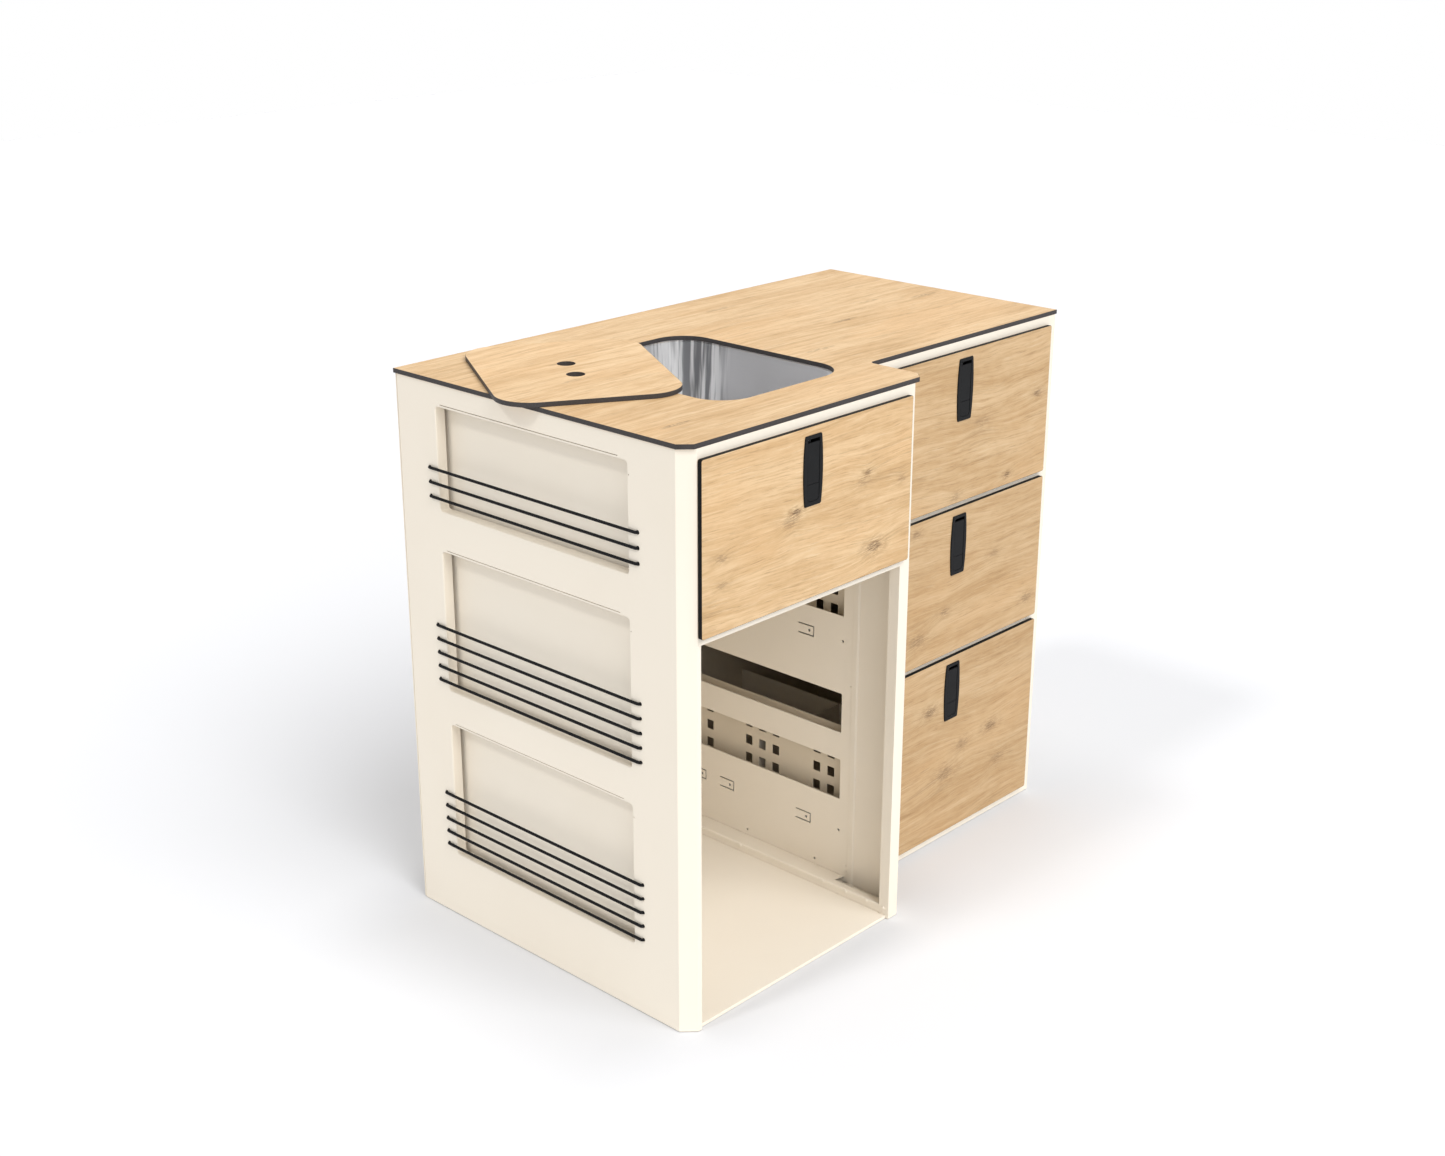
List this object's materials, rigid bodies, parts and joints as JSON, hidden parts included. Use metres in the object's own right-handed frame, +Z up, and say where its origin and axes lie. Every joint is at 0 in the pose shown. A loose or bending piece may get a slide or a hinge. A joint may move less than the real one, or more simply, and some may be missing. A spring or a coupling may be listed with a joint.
{
  "type": "campervan kitchen pod",
  "caption": "Folded steel kitchen pod with a board worktop, under-mounted sink and lid, side niches laced with elastic cord, an open bay and latched drawers on runners.",
  "frame": {"origin": "centre of the worktop's outline, on the floor that the pod stands on, at the underside of the base plate", "axes": "+X runs along the drawer fronts to the right as seen from the front, +Y from the front to the back, +Z up"},
  "size_m": [1.0267, 0.609, 0.8893],
  "materials": {
    "cream_steel": "fine powder coat",
    "drawer_steel": "fine powder coat",
    "oak_board": "matt light oak decor with black core edges",
    "sink_steel": "brushed",
    "zinc_steel": "zinc plated",
    "latch_black": "satin",
    "elastic_cord": "braided black"
  },
  "bodies": {
    "carcass": {"worktop": "oak_board", "sink_bowl": "sink_steel", "sink_waste": "sink_steel", "side_panel_left": "cream_steel", "niche_tray_top": "cream_steel", "niche_tray_middle": "cream_steel", "niche_tray_bottom": "cream_steel", "elastic_cord_top": "elastic_cord", "elastic_cord_middle": "elastic_cord", "elastic_cord_bottom": "elastic_cord", "front_frame_left": "cream_steel", "front_frame_right": "cream_steel", "side_panel_right": "cream_steel", "back_panel": "cream_steel", "base_plate": "cream_steel", "partition_panel": "cream_steel", "foot_rail": "cream_steel", "sink_runner_fixed_left": "zinc_steel", "sink_runner_fixed_right": "zinc_steel", "top_runner_fixed_left": "zinc_steel", "top_runner_fixed_right": "zinc_steel", "middle_runner_fixed_left": "zinc_steel", "middle_runner_fixed_right": "zinc_steel", "bottom_runner_fixed_left": "zinc_steel", "bottom_runner_fixed_right": "zinc_steel"},
    "lid": {"sink_lid": "oak_board"},
    "sink_drawer": {"sink_drawer_front": "oak_board", "sink_drawer_box": "drawer_steel", "sink_runner_moving_left": "zinc_steel", "sink_runner_moving_right": "zinc_steel", "sink_latch_bezel": "latch_black"},
    "sink_paddle": {"sink_latch_paddle": "latch_black"},
    "sink_button": {"sink_latch_button": "latch_black"},
    "sink_bolt": {"sink_latch_bolt": "zinc_steel"},
    "top_drawer": {"top_drawer_front": "oak_board", "top_drawer_box": "drawer_steel", "top_runner_moving_left": "zinc_steel", "top_runner_moving_right": "zinc_steel", "top_latch_bezel": "latch_black"},
    "top_paddle": {"top_latch_paddle": "latch_black"},
    "top_button": {"top_latch_button": "latch_black"},
    "top_bolt": {"top_latch_bolt": "zinc_steel"},
    "middle_drawer": {"middle_drawer_front": "oak_board", "middle_drawer_box": "drawer_steel", "middle_runner_moving_left": "zinc_steel", "middle_runner_moving_right": "zinc_steel", "middle_latch_bezel": "latch_black"},
    "middle_paddle": {"middle_latch_paddle": "latch_black"},
    "middle_button": {"middle_latch_button": "latch_black"},
    "middle_bolt": {"middle_latch_bolt": "zinc_steel"},
    "bottom_drawer": {"bottom_drawer_front": "oak_board", "bottom_drawer_box": "drawer_steel", "bottom_runner_moving_left": "zinc_steel", "bottom_runner_moving_right": "zinc_steel", "bottom_latch_bezel": "latch_black", "drawer_divider": "cream_steel"},
    "bottom_paddle": {"bottom_latch_paddle": "latch_black"},
    "bottom_button": {"bottom_latch_button": "latch_black"},
    "bottom_bolt": {"bottom_latch_bolt": "zinc_steel"}
  },
  "joints": [
    {"name": "lid_lift", "type": "slide", "parent": "carcass", "child": "lid", "axis": [0, 0, 1], "range_m": [0, 0.25]},
    {"name": "sink_drawer_slide", "type": "slide", "parent": "carcass", "child": "sink_drawer", "axis": [0, -1, 0], "range_m": [0, 0.4]},
    {"name": "top_drawer_slide", "type": "slide", "parent": "carcass", "child": "top_drawer", "axis": [0, -1, 0], "range_m": [0, 0.4]},
    {"name": "middle_drawer_slide", "type": "slide", "parent": "carcass", "child": "middle_drawer", "axis": [0, -1, 0], "range_m": [0, 0.4]},
    {"name": "bottom_drawer_slide", "type": "slide", "parent": "carcass", "child": "bottom_drawer", "axis": [0, -1, 0], "range_m": [0, 0.4]},
    {"name": "sink_paddle_hinge", "type": "hinge", "parent": "sink_drawer", "child": "sink_paddle", "pos_m": [-0.25635, -0.30755, 0.7803], "axis": [1, 0, 0], "range_deg": [0, 35], "stiffness_Nm_per_rad": 0.05, "springref_deg": -20.05},
    {"name": "top_paddle_hinge", "type": "hinge", "parent": "top_drawer", "child": "top_paddle", "pos_m": [0.23965, -0.19975, 0.7803], "axis": [1, 0, 0], "range_deg": [0, 35], "stiffness_Nm_per_rad": 0.05, "springref_deg": -20.05},
    {"name": "middle_paddle_hinge", "type": "hinge", "parent": "middle_drawer", "child": "middle_paddle", "pos_m": [0.23965, -0.19975, 0.5198], "axis": [1, 0, 0], "range_deg": [0, 35], "stiffness_Nm_per_rad": 0.05, "springref_deg": -20.05},
    {"name": "bottom_paddle_hinge", "type": "hinge", "parent": "bottom_drawer", "child": "bottom_paddle", "pos_m": [0.23965, -0.19975, 0.2593], "axis": [1, 0, 0], "range_deg": [0, 35], "stiffness_Nm_per_rad": 0.05, "springref_deg": -20.05},
    {"name": "sink_bolt_slide", "type": "slide", "parent": "sink_drawer", "child": "sink_bolt", "axis": [0, 0, -1], "range_m": [0, 0.008], "stiffness_N_per_m": 150, "springref_m": -0.005},
    {"name": "top_bolt_slide", "type": "slide", "parent": "top_drawer", "child": "top_bolt", "axis": [0, 0, -1], "range_m": [0, 0.008], "stiffness_N_per_m": 150, "springref_m": -0.005},
    {"name": "middle_bolt_slide", "type": "slide", "parent": "middle_drawer", "child": "middle_bolt", "axis": [0, 0, -1], "range_m": [0, 0.008], "stiffness_N_per_m": 150, "springref_m": -0.005},
    {"name": "bottom_bolt_slide", "type": "slide", "parent": "bottom_drawer", "child": "bottom_bolt", "axis": [0, 0, -1], "range_m": [0, 0.008], "stiffness_N_per_m": 150, "springref_m": -0.005},
    {"name": "sink_button_push", "type": "slide", "parent": "sink_drawer", "child": "sink_button", "axis": [0, 1, 0], "range_m": [0, 0.003], "stiffness_N_per_m": 300, "springref_m": -0.001},
    {"name": "top_button_push", "type": "slide", "parent": "top_drawer", "child": "top_button", "axis": [0, 1, 0], "range_m": [0, 0.003], "stiffness_N_per_m": 300, "springref_m": -0.001},
    {"name": "middle_button_push", "type": "slide", "parent": "middle_drawer", "child": "middle_button", "axis": [0, 1, 0], "range_m": [0, 0.003], "stiffness_N_per_m": 300, "springref_m": -0.001},
    {"name": "bottom_button_push", "type": "slide", "parent": "bottom_drawer", "child": "bottom_button", "axis": [0, 1, 0], "range_m": [0, 0.003], "stiffness_N_per_m": 300, "springref_m": -0.001}
  ],
  "couplings": [
    {"joint": "sink_paddle_hinge", "follows": "sink_bolt_slide", "rad_per_m": 76.35},
    {"joint": "top_paddle_hinge", "follows": "top_bolt_slide", "rad_per_m": 76.35},
    {"joint": "middle_paddle_hinge", "follows": "middle_bolt_slide", "rad_per_m": 76.35},
    {"joint": "bottom_paddle_hinge", "follows": "bottom_bolt_slide", "rad_per_m": 76.35}
  ]
}
